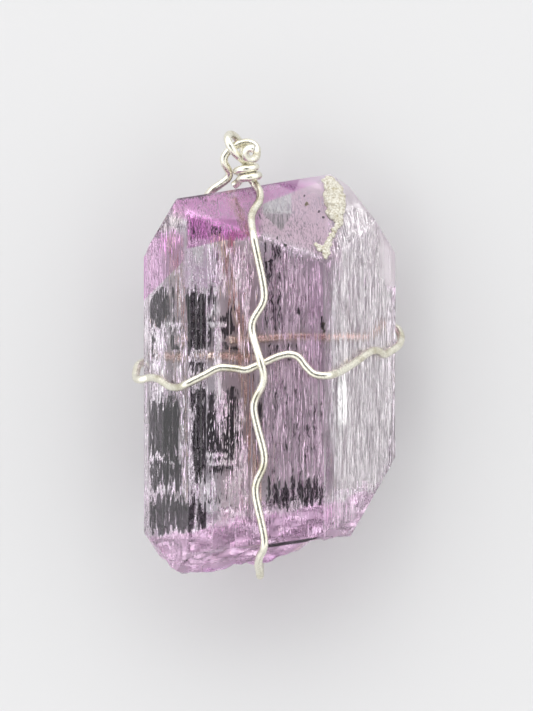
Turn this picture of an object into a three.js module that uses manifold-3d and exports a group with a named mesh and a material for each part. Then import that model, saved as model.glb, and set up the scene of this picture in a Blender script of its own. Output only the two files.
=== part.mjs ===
// A kunzite crystal in a wire cage, lying on its back.
// Millimetres. +X runs across the crystal, +Y along it towards the wire's rings,
// +Z up out of its front face, and Z = 0 is the surface it lies on.
import * as THREE from "three";
import { mergeVertices } from "three/addons/utils/BufferGeometryUtils.js";
import Module from "manifold-3d";

// Where the middle of the whole part's footprint is in the coordinates used below.
const FOOTPRINT_X = -0.03;
const FOOTPRINT_Y = 1.48;

// Crystal: its cross-section's corners as [x, height above the back face], anticlockwise.
const BACK_Z = 1.4;
const SECTION = [
  [-5.3, 0],
  [7.6, 0],
  [10.1, 3.0],
  [9.7, 3.9],
  [4.4, 10.5],
  [-6.5, 10.5],
  [-9.6, 6.7],
  [-10.1, 5.3],
];
const BLANK_LENGTH = 34;
const BLANK_TOP = 17;
const BLANK_ROWS = 9;

// Crystal: growth grooves along the sides.
const GROOVE_PITCH = 0.44;
const GROOVE_DEPTH = 0.13;
const GROOVE_LENGTH = 7;
const GROOVE_START = 0.3; // noise below this leaves the side flat
const GROOVE_SEED = 11;
const SMOOTH_LAND = [1.4, 5.4]; // part of the back face, in x, that has none

// Crystal: flat faces that cut its ends, each through a point [x, y, height above the back].
// A face's y changes by perX along x and by perHeight with height.
const TOP_FACES = [
  { through: [4.4, 8.64, 10.5], perX: -0.3504, perHeight: -1.004 }, // large front face
  { through: [-6.56, 10.24, 0], perX: 0.394, perHeight: 0.4177 }, // large back face
  { through: [-10.1, 9.28, 5.3], perX: 1.276, perHeight: 0.288 }, // left corner
  { through: [10.04, 9.71, 3.1], perX: -1.42, perHeight: 0.1 }, // right corner
  { through: [4.88, 16.0, 3.0], perX: -0.76, perHeight: 0.3 }, // beside the crust
];
const BASE_FACES = [
  { through: [9.96, -7.0, 3.2], perX: 1.49, perHeight: -0.15 }, // right corner
  { through: [0, -13.42, 10.5], perX: 0.12, perHeight: 1.15 }, // lip under the front face
];

// Crystal: the broken base. It follows the highest of these slopes, with a rough surface.
const BASE_SLOPES = [
  { y: -10.55, perX: 0.2, perHeight: -0.57 },
  { y: -15.3, perX: 0.36, perHeight: 0 },
  { y: -16.05, perX: 0, perHeight: 0 },
  { y: -27.13, perX: -1.4, perHeight: 0 },
];
const BASE_GRAIN = 1.15;
const BASE_SEED = 23;
const BASE_ROUGHNESS = 0.5;
const BASE_PROUD = 0.15; // how far the roughness stands out of the slopes
const BREAKER_WIDTH = 24; // the block that takes the base away is wider than the crystal
const BREAKER_DEPTH = 14;

// Crust: flattened lumps along the front face, as [x, y, radius].
const CRUST_LUMPS = [
  [4.96, 15.05, 0.72],
  [5.1, 14.2, 0.94],
  [5.2, 13.35, 0.9],
  [5.32, 12.5, 0.62],
  [5.36, 11.75, 0.5],
  [5.1, 11.15, 0.46],
  [4.7, 10.6, 0.48],
  [4.1, 10.2, 0.42],
];
const CRUST_STRETCH = 1.35; // down the face
const CRUST_FLATNESS = 0.6;
const CRUST_ROUGHNESS = 0.4;
const CRUST_GRAIN = 0.5; // size of a bump for a lump of radius 1
const CRUST_SHIFT = 7; // moves each lump's noise away from its own centre
const PIT_CLEARANCE = 0.05;

// Wires.
const WIRE_RADIUS = 0.32;
const WIRE_SIDES = 8;
const WIRE_CLEARANCE = 0.06;
const ROUTE_STEP = 0.12; // between two points of a route before it is thinned
const MOST_TURN = 0.22; // radians between two rings of a wire's surface
const MOST_RUN = 2; // and the length between them
const EDGE_EASE = 2; // route steps each side that round the wire over an edge
const KINK_REACH = 0.4; // how far each side of a kink its curve reaches
const KINK_SHARE = 0.4; // and the most of the way to the next kink that this may be
const CROSSING_Y = 0.72; // where the long wire passes over the waist wire
const CROSSING_LIFT = 0.72;
const CROSSING_REACH = 2.8;

// Long wire: curled end, facing ring, past the neck, down behind the crystal and under its base.
const RING_AND_BACK = [
  [-1.29, 17.84, 9.8],
  [-1.64, 17.88, 9.7],
  [-1.92, 17.67, 9.55],
  [-1.96, 17.32, 9.35],
  [-1.75, 17.04, 9.1],
  [-1.4, 17.02, 8.85],
  [-1.12, 17.22, 8.55],
  [-1.05, 17.56, 8.25],
  [-1.08, 17.9, 8.05],
  [-1.28, 18.22, 8.0],
  [-1.68, 18.4, 8.0],
  [-2.16, 18.38, 8.0],
  [-2.72, 18.176, 8.0],
  [-3.24, 17.8, 8.0],
  [-3.632, 17.28, 8.0],
  [-3.664, 16.84, 7.9],
  [-3.44, 16.4, 7.7],
  [-3.24, 16.0, 7.4],
  [-3.4, 15.55, 7.2],
  [-3.95, 15.1, 7.25],
  [-4.65, 14.6, 7.3],
  [-5.05, 14.1, 6.7],
  [-5.1, 13.4, 5.2],
  [-5.0, 12.8, 3.5],
  [-4.6, 12.3, 1.6],
  [-4.3, 11.8, 0.6],
  [-4.1, 11.2, 0.33],
  [-3.7, 9.6, 0.75],
  [-3.1, 7.2, 1.02],
  [-2.6, 4.6, 1.02],
  [-2.2, 2.4, 1.02],
  [-2.2, 0.6, 1.02],
  [-1.7, -2.0, 1.02],
  [-1.8, -4.6, 1.0],
  [-1.2, -7.0, 0.95],
  [-1.1, -9.2, 0.6],
  [-1.0, -10.6, 0.33],
  [-0.95, -11.6, 0.95],
  [-0.9, -12.3, 2.3],
  [-0.9, -13.1, 4.05],
  [-0.85, -14.0, 5.6],
  [-0.8, -14.85, 7.05],
  [-0.8, -15.55, 8.5],
  [-0.8, -15.98, 9.3],
  [-0.8, -16.1, 9.85],
  [-0.81, -16.0, 10.25],
];
// Long wire: kinks up the front, as [x, y].
const FRONT_KINKS = [
  [-0.83, -15.7],
  [-1.0, -14.9],
  [-0.36, -13.6],
  [-1.24, -9.04],
  [-0.37, -7.0],
  [-1.37, -2.5],
  [-0.41, -0.5],
  [-1.53, 3.84],
  [-0.38, 5.86],
  [-1.56, 12.46],
  [-0.66, 14.06],
  [-1.04, 14.85],
];
// Long wire: over the crystal's top edge, through the neck and round the upright ring.
const NECK_AND_RING = [
  [-1.28, 15.18, 7.98],
  [-1.52, 15.47, 8.03],
  [-1.78, 16.0, 8.1],
  [-1.93, 16.5, 8.12],
  [-2.0, 16.85, 8.4],
  [-2.28, 17.1, 8.65],
  [-2.6, 17.35, 8.98],
  [-2.92, 17.68, 9.22],
  [-3.24, 18.2, 9.3],
  [-3.38, 18.68, 9.0],
  [-3.27, 19.0, 8.4],
  [-2.96, 19.0, 7.75],
  [-2.6, 18.68, 7.25],
  [-2.28, 18.16, 6.95],
  [-2.04, 17.55, 6.9],
  [-1.85, 17.05, 6.98],
  [-1.62, 16.72, 7.2],
];
// Long wire: turns round the neck, from behind by way of the right, then a short tail.
const WRAP_START = -45;
const WRAP_END = 540;
const WRAP_STEP = 45;
const WRAP_TOP = [-1.9, 16.28, 8.1];
const WRAP_PER_TURN = [0.23, -0.68];
const WRAP_HALF_WIDTH = 0.8;
const WRAP_HALF_DEPTH = 0.74;
const TAIL = [
  [-2.5, 15.3, 7.8],
  [-2.68, 15.14, 7.6],
  [-2.86, 15.0, 7.5],
];

// Waist wire: from its first end behind the crystal round to the left edge.
const WAIST_LEFT = [
  [-1.3, 1.3, 0.8],
  [-1.75, 1.3, 0.45],
  [-2.2, 1.3, 0.33],
  [-2.7, 1.31, 0.4],
  [-3.4, 1.35, 0.62],
  [-4.4, 1.4, 0.55],
  [-5.2, 1.43, 0.33],
  [-5.9, 1.42, 0.55],
  [-6.7, 1.38, 1.4],
  [-8.5, 1.15, 4.3],
  [-10.0, 0.9, 5.7],
  [-10.52, 0.65, 6.3],
  [-10.7, 0.15, 6.9],
  [-10.68, -0.4, 7.6],
  [-10.28, -0.53, 8.3],
];
// Waist wire: bends across the front, as [x, y].
const WAIST_FRONT = [
  [-9.65, -0.37],
  [-9.25, -0.36],
  [-8.72, -0.56],
  [-7.94, -1.04],
  [-7.26, -1.12],
  [-6.34, -0.72],
  [-5.12, -0.11],
  [-4.04, 0.42],
  [-2.82, 0.38],
  [-1.9, 0.26],
  [-1.28, 0.5],
  [-0.22, 0.96],
  [0.7, 1.34],
  [1.62, 1.5],
  [2.24, 1.26],
  [2.85, 0.5],
  [3.46, -0.04],
  [4.22, -0.19],
  [5.14, -0.04],
  [6.06, 0.42],
  [7.12, 1.12],
  [8.05, 1.72],
  [8.58, 1.8],
  [9.12, 1.5],
  [9.74, 1.8],
];
// Waist wire: round the right edge and back to its second end.
const WAIST_RIGHT = [
  [10.34, 2.25, 4.95],
  [10.55, 2.85, 4.1],
  [10.3, 3.5, 3.4],
  [9.6, 3.9, 2.8],
  [8.7, 4.15, 1.3],
  [8.1, 4.22, 0.55],
  [7.5, 4.2, 0.33],
  [6.8, 4.0, 0.55],
  [6.1, 3.35, 1.0],
  [5.1, 2.9, 1.02],
  [2.7, 2.95, 1.02],
  [1.1, 2.9, 1.0],
  [-0.6, 2.78, 0.75],
  [-1.6, 2.72, 0.4],
  [-2.2, 2.7, 0.33],
  [-2.7, 2.68, 0.45],
  [-3.1, 2.65, 0.8],
];

const CUTTER_SIZE = 90;
const WELD_REACH = 1e-4; // corners closer than this are the same corner
const FACING_FRONT = 0.05; // a face counts as a front one if its normal rises more than this
const SAMPLES_PER_POINT = 20; // of a route, to measure its length

const wasm = await Module();
wasm.setup();

/** A geometry as a solid that can be joined and cut. */
function solidOf(geometry) {
  const bare = geometry.clone();
  bare.deleteAttribute("normal");
  bare.deleteAttribute("uv");
  const welded = mergeVertices(bare, WELD_REACH);
  return new wasm.Manifold(
    new wasm.Mesh({
      numProp: 3,
      vertProperties: new Float32Array(welded.attributes.position.array),
      triVerts: new Uint32Array(welded.index.array),
    }),
  );
}

/** A solid as a named mesh of flat triangles. */
function meshOf(solid, name, material) {
  const { vertProperties, triVerts } = solid.getMesh();
  const indexed = new THREE.BufferGeometry();
  indexed.setAttribute("position", new THREE.BufferAttribute(vertProperties, 3));
  indexed.setIndex(new THREE.BufferAttribute(triVerts, 1));
  const geometry = indexed.toNonIndexed();
  geometry.computeVertexNormals();
  geometry.translate(-FOOTPRINT_X, -FOOTPRINT_Y, 0);
  const mesh = new THREE.Mesh(geometry, new THREE.MeshStandardMaterial(material));
  mesh.name = name;
  return mesh;
}

function joined(solids) {
  return solids.reduce((whole, next) => whole.add(next));
}

/** A number from 0 to 1 that depends only on three whole numbers. */
function chance(i, j, k) {
  let bits = Math.imul(i, 374761393) ^ Math.imul(j, 668265263) ^ Math.imul(k, 974634777);
  bits = Math.imul(bits ^ (bits >>> 13), 1274126177);
  bits ^= bits >>> 16;
  return (bits >>> 0) / 4294967295;
}

/** Smooth noise from 0 to 1 over a plane, with one random value per unit square. */
function noise(u, v, seed) {
  const i = Math.floor(u);
  const j = Math.floor(v);
  const ease = (t) => t * t * (3 - 2 * t);
  const s = ease(u - i);
  const t = ease(v - j);
  const near = THREE.MathUtils.lerp(chance(i, j, seed), chance(i + 1, j, seed), s);
  const far = THREE.MathUtils.lerp(chance(i, j + 1, seed), chance(i + 1, j + 1, seed), s);
  return THREE.MathUtils.lerp(near, far, t);
}

/** The plane of an end face. side is 1 where the crystal is below it in y, -1 above. */
function endPlane({ through: [x, y, height], perX, perHeight }, side) {
  const normal = new THREE.Vector3(-perX, 1, -perHeight).multiplyScalar(side).normalize();
  const point = new THREE.Vector3(x, y, height + BACK_Z);
  return new THREE.Plane().setFromNormalAndCoplanarPoint(normal, point);
}

/** The plane of the side of the crystal that starts at a corner of its cross-section. */
function sidePlane(corner) {
  const [x0, z0] = SECTION[corner];
  const [x1, z1] = SECTION[(corner + 1) % SECTION.length];
  const normal = new THREE.Vector3(z1 - z0, 0, x0 - x1).normalize();
  const point = new THREE.Vector3(x0, 0, z0 + BACK_Z);
  return new THREE.Plane().setFromNormalAndCoplanarPoint(normal, point);
}

const endPlanes = [
  ...TOP_FACES.map((face) => endPlane(face, 1)),
  ...BASE_FACES.map((face) => endPlane(face, -1)),
];
const frontPlanes = [...SECTION.map((_, i) => sidePlane(i)), ...endPlanes].filter(
  (plane) => plane.normal.z > FACING_FRONT,
);

/** A block that fills everything outside a plane. */
function cutterBeyond(plane) {
  const up = new THREE.Vector3(0, 0, 1);
  const turn = new THREE.Quaternion().setFromUnitVectors(up, plane.normal);
  const geometry = new THREE.BoxGeometry(CUTTER_SIZE, CUTTER_SIZE, CUTTER_SIZE);
  geometry.translate(0, 0, CUTTER_SIZE / 2);
  geometry.applyQuaternion(turn);
  geometry.translate(...plane.normal.clone().multiplyScalar(-plane.constant));
  return solidOf(geometry);
}

/** Points round the cross-section, each with the way out of the crystal and how far along it is. */
function sectionPoints() {
  const toMicrometres = (value) => Math.round(value * 1000) / 1000;
  const points = [];
  let travelled = 0;
  SECTION.forEach(([x0, z0], corner) => {
    const [x1, z1] = SECTION[(corner + 1) % SECTION.length];
    const length = Math.hypot(x1 - x0, z1 - z0);
    const columns = Math.max(2, Math.round(length / GROOVE_PITCH));
    const { normal } = sidePlane(corner);
    for (let i = 0; i < columns; i += 1) {
      const x = toMicrometres(THREE.MathUtils.lerp(x0, x1, i / columns));
      const z = toMicrometres(THREE.MathUtils.lerp(z0, z1, i / columns));
      const onLand = corner === 0 && x > SMOOTH_LAND[0] && x < SMOOTH_LAND[1];
      const grooved = i > 0 && !onLand;
      points.push({ x, z, normal, grooved, along: travelled + (i * length) / columns });
    }
    travelled += length;
  });
  return points;
}

/** How deep the grooves are, at a distance round the cross-section and along the crystal. */
function grooveDepth(along, y) {
  const column = Math.round(along / GROOVE_PITCH);
  const value = noise(y / GROOVE_LENGTH + chance(column, 0, 0), column, GROOVE_SEED);
  return GROOVE_DEPTH * THREE.MathUtils.smoothstep(value, GROOVE_START, 1);
}

/** The long prism that the crystal's ends are cut from. */
function groovedPrism() {
  const points = sectionPoints();
  const shape = new THREE.Shape(points.map(({ x, z }) => new THREE.Vector2(x, z)));
  const geometry = new THREE.ExtrudeGeometry(shape, {
    depth: BLANK_LENGTH,
    steps: BLANK_ROWS,
    bevelEnabled: false,
  });
  const keyOf = (x, z) => `${x.toFixed(3)},${z.toFixed(3)}`;
  const byPlace = new Map(points.map((point) => [keyOf(point.x, point.z), point]));
  const position = geometry.attributes.position;
  for (let i = 0; i < position.count; i += 1) {
    const point = byPlace.get(keyOf(position.getX(i), position.getY(i)));
    const y = BLANK_TOP - position.getZ(i);
    const depth = point.grooved ? grooveDepth(point.along, y) : 0;
    const x = point.x - point.normal.x * depth;
    position.setXYZ(i, x, y, point.z - point.normal.z * depth + BACK_Z);
  }
  return solidOf(geometry);
}

/** The y of the crystal's broken base. */
function baseY(x, z) {
  const height = z - BACK_Z;
  const slopes = BASE_SLOPES.map(({ y, perX, perHeight }) => y + perX * x + perHeight * height);
  const grain = noise(x / BASE_GRAIN, z / BASE_GRAIN, BASE_SEED);
  return Math.max(...slopes) + grain * BASE_ROUGHNESS - BASE_PROUD;
}

/** A block below the crystal whose top is the broken base. */
function baseBreaker() {
  const cells = [BREAKER_WIDTH, 1, BREAKER_DEPTH];
  const geometry = new THREE.BoxGeometry(BREAKER_WIDTH, 1, BREAKER_DEPTH, ...cells);
  geometry.translate(0, 0, BREAKER_DEPTH / 2);
  const position = geometry.attributes.position;
  for (let i = 0; i < position.count; i += 1) {
    const top = position.getY(i) > 0;
    const y = top ? baseY(position.getX(i), position.getZ(i)) : -BLANK_LENGTH;
    position.setY(i, y);
  }
  return solidOf(geometry);
}

/** The crust's lumps, joined, each grown by extra. */
function crustLumps(extra) {
  const face = endPlanes[0];
  const up = new THREE.Vector3(0, 0, 1);
  const turn = new THREE.Quaternion().setFromUnitVectors(up, face.normal);
  const lumps = CRUST_LUMPS.map(([x, y, radius], lump) => {
    const geometry = new THREE.IcosahedronGeometry(1, 1);
    const position = geometry.attributes.position;
    const corner = new THREE.Vector3();
    for (let i = 0; i < position.count; i += 1) {
      corner.fromBufferAttribute(position, i);
      const across = corner.x / CRUST_GRAIN + CRUST_SHIFT;
      const down = (corner.y + corner.z) / CRUST_GRAIN + CRUST_SHIFT;
      const bump = noise(across, down, lump);
      corner.multiplyScalar(radius * (1 + CRUST_ROUGHNESS * (bump - 0.5)) + extra);
      position.setXYZ(i, corner.x, corner.y * CRUST_STRETCH, corner.z * CRUST_FLATNESS);
    }
    geometry.applyQuaternion(turn);
    const z = -(face.constant + face.normal.x * x + face.normal.y * y) / face.normal.z;
    geometry.translate(x, y, z);
    return solidOf(geometry);
  });
  return joined(lumps);
}

function crystalSolid() {
  const cutters = endPlanes.map(cutterBeyond);
  return groovedPrism().subtract(joined([...cutters, baseBreaker(), crustLumps(PIT_CLEARANCE)]));
}

/** A smooth line through points, which ExtrudeGeometry samples at the points themselves. */
class WireRoute extends THREE.CatmullRomCurve3 {
  getUtoTmapping(u) {
    return u;
  }
}

/** Points close together along a smooth line through the given ones. */
function finePoints(points) {
  const curve = new THREE.CatmullRomCurve3(points, false, "centripetal");
  curve.arcLengthDivisions = points.length * SAMPLES_PER_POINT;
  return curve.getSpacedPoints(Math.ceil(curve.getLength() / ROUTE_STEP));
}

/** The points that a wire's surface needs: few where it is straight, more where it bends. */
function thinned(points) {
  const kept = [points[0]];
  let turn = 0;
  let run = 0;
  for (let i = 1; i < points.length - 1; i += 1) {
    const before = points[i].clone().sub(points[i - 1]);
    const after = points[i + 1].clone().sub(points[i]);
    turn += before.angleTo(after);
    run += before.length();
    if (turn > MOST_TURN || run > MOST_RUN) {
      kept.push(points[i]);
      turn = 0;
      run = 0;
    }
  }
  return [...kept, points.at(-1)];
}

function wireSolid(route) {
  const points = thinned(finePoints(route));
  const corners = [];
  for (let i = 0; i < WIRE_SIDES; i += 1) {
    const angle = (2 * Math.PI * (i + 0.5)) / WIRE_SIDES;
    const corner = new THREE.Vector2(Math.cos(angle), Math.sin(angle));
    corners.push(corner.multiplyScalar(WIRE_RADIUS));
  }
  const geometry = new THREE.ExtrudeGeometry(new THREE.Shape(corners), {
    steps: points.length - 1,
    bevelEnabled: false,
    extrudePath: new WireRoute(points, false, "centripetal"),
  });
  return solidOf(geometry);
}

/** The height of a wire's middle where it lies on the front of the crystal. */
function heightOnFront(x, y) {
  const reach = WIRE_RADIUS + WIRE_CLEARANCE;
  const heights = frontPlanes.map(
    ({ normal, constant }) => (reach - constant - normal.x * x - normal.y * y) / normal.z,
  );
  return Math.min(...heights);
}

/** How much higher the long wire goes to pass over the waist wire. */
function crossingLift(y) {
  const t = Math.min(1, Math.abs(y - CROSSING_Y) / CROSSING_REACH);
  return (CROSSING_LIFT * (1 + Math.cos(Math.PI * t))) / 2;
}

/** Two points for each kink, a little way before and after it. */
function easedKinks(kinks) {
  const corners = kinks.map(([x, y]) => new THREE.Vector3(x, y, 0));
  const eased = corners.slice(1, -1).flatMap((corner, i) => {
    const towards = (other) => {
      const share = Math.min(KINK_SHARE, KINK_REACH / corner.distanceTo(other));
      return corner.clone().lerp(other, share);
    };
    return [towards(corners[i]), towards(corners[i + 2])];
  });
  return [corners[0], ...eased, corners.at(-1)];
}

/** Points of a wire that lies along a flat line over the front of the crystal. */
function layOnFront(line, lift) {
  const places = finePoints(line);
  const heights = places.map(({ x, y }) => heightOnFront(x, y) + lift(y));
  return places.map(({ x, y }, i) => {
    const reach = Math.min(EDGE_EASE, i, places.length - 1 - i);
    const near = heights.slice(i - reach, i + reach + 1);
    const z = near.reduce((sum, height) => sum + height, 0) / near.length;
    return new THREE.Vector3(x, y, z);
  });
}

/** The turns round the neck. */
function neckTurns() {
  const points = [];
  for (let angle = WRAP_START; angle <= WRAP_END; angle += WRAP_STEP) {
    const turns = (angle - 90) / 360;
    const radians = THREE.MathUtils.degToRad(angle);
    const x = WRAP_TOP[0] + WRAP_PER_TURN[0] * turns + WRAP_HALF_WIDTH * Math.cos(radians);
    const y = WRAP_TOP[1] + WRAP_PER_TURN[1] * turns;
    points.push(new THREE.Vector3(x, y, WRAP_TOP[2] + WRAP_HALF_DEPTH * Math.sin(radians)));
  }
  return points;
}

const toVectors = (rows) => rows.map((row) => new THREE.Vector3(...row));

export const longWirePoints = [
  ...toVectors(RING_AND_BACK),
  ...layOnFront(easedKinks(FRONT_KINKS), crossingLift),
  ...toVectors(NECK_AND_RING),
  ...neckTurns(),
  ...toVectors(TAIL),
];
const waistLine = WAIST_FRONT.map(([x, y]) => new THREE.Vector3(x, y, 0));
export const waistWirePoints = [
  ...toVectors(WAIST_LEFT),
  ...layOnFront(waistLine, () => 0),
  ...toVectors(WAIST_RIGHT),
];

const silver = { color: 0xd6d2c4, roughness: 0.22, metalness: 1 };
const kunzite = { color: 0xd3a9d9, roughness: 0.12, metalness: 0 };
const crustStone = { color: 0xe8e2d3, roughness: 0.9, metalness: 0 };

const part = new THREE.Group();
part.name = "kunzite_in_wire";
part.add(meshOf(crystalSolid(), "crystal", kunzite));
part.add(meshOf(crustLumps(0), "matrix_crust", crustStone));
part.add(meshOf(wireSolid(longWirePoints), "long_wire", silver));
part.add(meshOf(wireSolid(waistWirePoints), "waist_wire", silver));
export default part;
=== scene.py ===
"""A kunzite crystal in a silver wire cage, lying on a pale studio floor.

Lengths are millimetres in the coordinates of the part's source, whose routes and planes are
repeated here. placed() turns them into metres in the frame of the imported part.
"""
from functools import reduce
import math

import bmesh
import bpy
import numpy as np
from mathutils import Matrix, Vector, noise


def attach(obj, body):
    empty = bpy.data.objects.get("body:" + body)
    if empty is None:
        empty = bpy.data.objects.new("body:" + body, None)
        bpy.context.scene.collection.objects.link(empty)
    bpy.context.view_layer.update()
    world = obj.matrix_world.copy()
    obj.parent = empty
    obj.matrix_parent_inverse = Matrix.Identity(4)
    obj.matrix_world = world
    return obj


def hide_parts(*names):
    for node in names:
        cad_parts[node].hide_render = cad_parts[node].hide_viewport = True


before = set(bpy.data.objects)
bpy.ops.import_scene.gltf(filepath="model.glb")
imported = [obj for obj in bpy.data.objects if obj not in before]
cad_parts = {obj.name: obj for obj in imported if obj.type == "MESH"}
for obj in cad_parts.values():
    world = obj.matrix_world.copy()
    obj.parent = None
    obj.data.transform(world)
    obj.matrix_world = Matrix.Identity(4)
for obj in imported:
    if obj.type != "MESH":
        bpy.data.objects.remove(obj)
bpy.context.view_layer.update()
SCENE = bpy.context.scene

MM = 0.001
PHOTO_HEIGHT = 711 * 0.08
FOOTPRINT = np.array([-0.03, 1.48, 0])

# Crystal: cross-section corners as (x, height above the back face), anticlockwise.
BACK_Z = 1.4
SECTION = [
    (-5.3, 0), (7.6, 0), (10.1, 3), (9.7, 3.9), (4.4, 10.5), (-6.5, 10.5), (-9.6, 6.7),
    (-10.1, 5.3),
]
BLANK_Y = (-18.2, 17)
COLUMN = 0.08
ROW = 0.3
SMOOTH_LAND = (1.4, 5.4)  # part of the back face, in x, that has no grooves
EDGE_WIDTH = 0.07
FACING_FRONT = 0.05
IOR = 1.66
ABSORPTION = 18

# Growth striations along the sides: (pitch, depth, length along the crystal, seed).
BROAD_STRIATIONS = [(0.88, 0.035, 13, 3), (0.44, 0.03, 9, 11)]
FINE_STRIATIONS = [(0.24, 0.02, 7, 17), (0.16, 0.012, 4, 19), (0.08, 0.006, 2.2, 29)]

# Flat end faces: (x, y, height of a point on it, y change per x, y change per height, which way).
END_FACES = [
    (4.4, 8.64, 10.5, -0.3504, -1.004, 1),
    (-6.56, 10.24, 0, 0.394, 0.4177, 1),
    (-10.1, 9.28, 5.3, 1.276, 0.288, 1),
    (10.04, 9.71, 3.1, -1.42, 0.1, 1),
    (4.88, 16, 3, -0.76, 0.3, 1),
    (9.96, -7, 3.2, 1.49, -0.15, -1),
    (0, -13.42, 10.5, 0.12, 1.15, -1),
]
END_RIPPLE = 0.012
RIPPLE_CELL = (1.3, 0.9)
END_CELL = 0.5
CUTTER_SIZE, CUTTER_DEPTH = (44, 44), 30

# Broken base: the highest of the slopes (y, per x, per height), roughened at several sizes.
BASE_SLOPES = [(-10.55, 0.2, -0.57), (-15.3, 0.36, 0), (-16.05, 0, 0), (-27.13, -1.4, 0)]
BASE_GRAIN = 1.15
BASE_ROUGHNESS = 0.5
BASE_PROUD = 0.15
BASE_CHIPS = [(2.6, 0.65, 47), (1.3, 0.28, 41), (0.6, 0.04, 43)]  # (cell, depth, seed)
BASE_CHIP_LEAN = 0.4
BASE_CELL = 0.3
BASE_CUTTER_Z, BASE_CUTTER_SIZE, BASE_CUTTER_DEPTH = 5.5, (23, 13), 40

GROOVED = (0.3, 1)  # the noise values between which a striation sets in
CALMED = 0.9  # how much of the fine striations the windows lose

# How far the ridge falls, the base band rises and the left cut corner rises, per mm to the right.
RIDGE_SLOPE = 0.35
BAND_SLOPE = 0.2
CHAMFER_SLOPE = 0.95
# The stretch, in x, whose painted shade streaks lie on the back. Elsewhere they lie on the front.
BEHIND = (-5.1, -0.7)
FRONT_RISE = (BACK_Z + 5.5, BACK_Z + 6.5)
BACK_FALL = (BACK_Z + 2.2, BACK_Z + 4)
USUAL_SHADE = (0.45, 0.36)  # up to the end of that stretch, and right of it
SHADE_CELL = (0.45, 5)
# Where the painted shade streaks fade out: at the ridge, the base band, the right slope and the cut
# corner.
RIDGE_EDGE = (9.2, 10)
BAND_EDGE = (-11.7, -11.1)
SLOPE_EDGE = (4.35, 4.45)
SLOPE_LOSS = 0.6
CHAMFER_EDGE = (14.9, 15.4)
CHAMFER_X = -6.55
BROKEN_REACH = (0.9, 1.2)
# Round the wires behind the crystal the painted shade clears: reach, step along them and strength.
WIRE_HALO = (0.35, 0.6)
HALO_STEP = 0.3
HALO_STRENGTH = 0.85

# The windows and streaks are painted shade: darkness seen through clear glass, painted onto it.
# Dark windows between the streaks: (x, y, half width, half height, strength).
WINDOWS = [
    (-8.92, 5.3, 0.68, 1.75, 0.9), (-9.36, 2.5, 0.24, 0.7, 0.8), (-7.5, 2.2, 0.48, 0.8, 0.7),
    (-8.4, -4.4, 1.3, 2.3, 1), (-8.2, -8.1, 1.4, 1.2, 0.85), (-7.8, -11.3, 1.9, 1.4, 1),
    (-5.6, 4.3, 1.25, 2.8, 1), (-3.2, 3.2, 0.6, 1.9, 1), (-5.8, 0.6, 0.6, 0.6, 0.9),
    (-5.9, -2, 0.5, 1.1, 0.8), (-4.3, -4.2, 1.85, 2.6, 1), (-4.4, -7.5, 1.7, 0.9, 0.85),
    (-4.1, -11.3, 1.8, 1.2, 1), (-1.1, -4.2, 0.4, 2, 0.9), (0.15, 6.9, 0.85, 4, 0.56),
    (2.2, 6.4, 1.1, 3.6, 0.40), (1, 2, 1.4, 1.1, 0.55), (4.2, 3.65, 0.16, 0.5, 1),
    (2, -5.4, 2.4, 4.8, 0.45), (1.85, -9.8, 2.5, 1.1, 0.72),
]
# Plain pale windows, in the same way.
PANES = [(-5.75, 8.3, 1, 1.9, 1), (1.5, 7.4, 0.35, 0.9, 0.5)]
WINDOW_RIM = (0.8, 1.1)
SWAY, SWAY_CELL = 0.35, (0.5, 2.5)
JAG, JAG_CELL = 1.8, (0.12, 1.4)

# Bundles of pale needles: (x, y, half width, half height, depth below the front, needles).
BUNDLES = [
    (-9.7, -2, 0.3, 8, 3, 220), (-8.5, 0.6, 0.5, 3.6, 2, 220), (-6.7, -2, 0.3, 10.5, 3, 420),
    (-4.4, 7.8, 1, 2, 5, 90), (-4.1, 1, 0.35, 3.2, 4, 200), (-2.2, 4.8, 0.6, 4.5, 4, 220),
    (-3.9, -3.2, 0.6, 1.8, 5, 120), (-2.3, -7, 0.6, 5, 4, 360), (3.6, 4, 0.6, 5, 3, 260),
    (1.6, 3, 1.8, 5, 3, 260), (1.8, -4.5, 2.4, 5.5, 3, 420), (1.1, 7.2, 1.9, 4, 1, 560),
    (1.9, -4, 2.4, 7.5, 1, 500), (-3.9, 8.4, 1.8, 1.9, 1.5, 300), (-2.1, 8, 0.8, 2.2, 1.5, 160),
    (3.9, -8, 0.5, 3, 3, 160), (7.1, 0.5, 2.7, 13, 1.6, 3600), (-8, 11, 1, 1.5, 1, 90),
    (0, 0, 9.5, 13, 8, 420),
]
# Dense white clusters of them, also in the windows.
CLUSTERS = [
    (5.64, -2.3, 0.36, 1.6, 0.4, 240), (6.2, -2.4, 0.1, 1.4, 0.5, 30), (8.9, 0.7, 0.18, 0.5, 0.5, 16),
    (-8.7, 1.7, 0.22, 1.4, 0.6, 50), (-8.5, -1, 0.2, 1.2, 0.6, 40), (-6.6, 1.8, 0.14, 1.3, 0.6, 36),
    (-4.2, 1.8, 0.26, 1.6, 0.8, 60), (-4.5, 5, 0.6, 0.35, 0.8, 30), (-8.5, -8.4, 0.25, 1.1, 0.6, 50),
    (-7.7, -8.9, 0.3, 0.9, 0.6, 50), (-6.9, -8.6, 0.12, 1.2, 0.6, 30), (-4.7, -9.2, 0.5, 0.7, 1, 60),
    (-3.2, -8.8, 0.5, 0.8, 1, 50), (-5.8, -10, 0.07, 1.6, 0.6, 24), (-7.3, -11, 0.12, 0.5, 0.5, 10),
    (0.9, 0.9, 0.35, 0.9, 1, 30), (-4, -2.4, 0.25, 1.2, 0.8, 30), (7.2, 10.6, 2.4, 3, 1.2, 560),
    (9.1, 8.4, 0.8, 2.8, 1.5, 260), (5.6, -11.2, 1.3, 1.3, 0.7, 160), (5.2, -12.6, 0.8, 0.7, 0.7, 60),
]

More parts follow.
